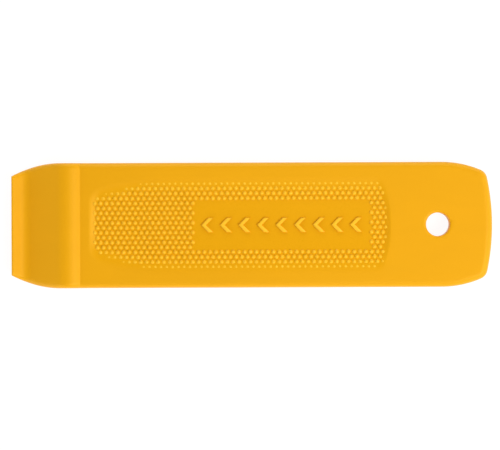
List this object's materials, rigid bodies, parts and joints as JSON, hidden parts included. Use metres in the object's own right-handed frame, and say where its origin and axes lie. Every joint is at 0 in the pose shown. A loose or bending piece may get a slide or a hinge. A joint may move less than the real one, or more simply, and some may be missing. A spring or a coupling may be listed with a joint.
{
  "type": "tyre lever",
  "caption": "Flat moulded tyre lever with a hooked spoon tip, a dished and dotted grip panel, a hanging hole and a ribbed underside.",
  "frame": {"origin": "on the flat underside at mid-length and mid-width, where the centre rib crosses the middle cross rib", "axes": "+X along the lever to the end with the hanging hole, -X to the hooked tip, +Z out of the face with the grip panel, Y across the lever"},
  "size_m": [0.112, 0.0292, 0.006],
  "materials": {
    "yellow_nylon": "satin moulded yellow nylon, coloured right through"
  },
  "bodies": {
    "root": {"lever_body": "yellow_nylon"}
  },
  "joints": []
}
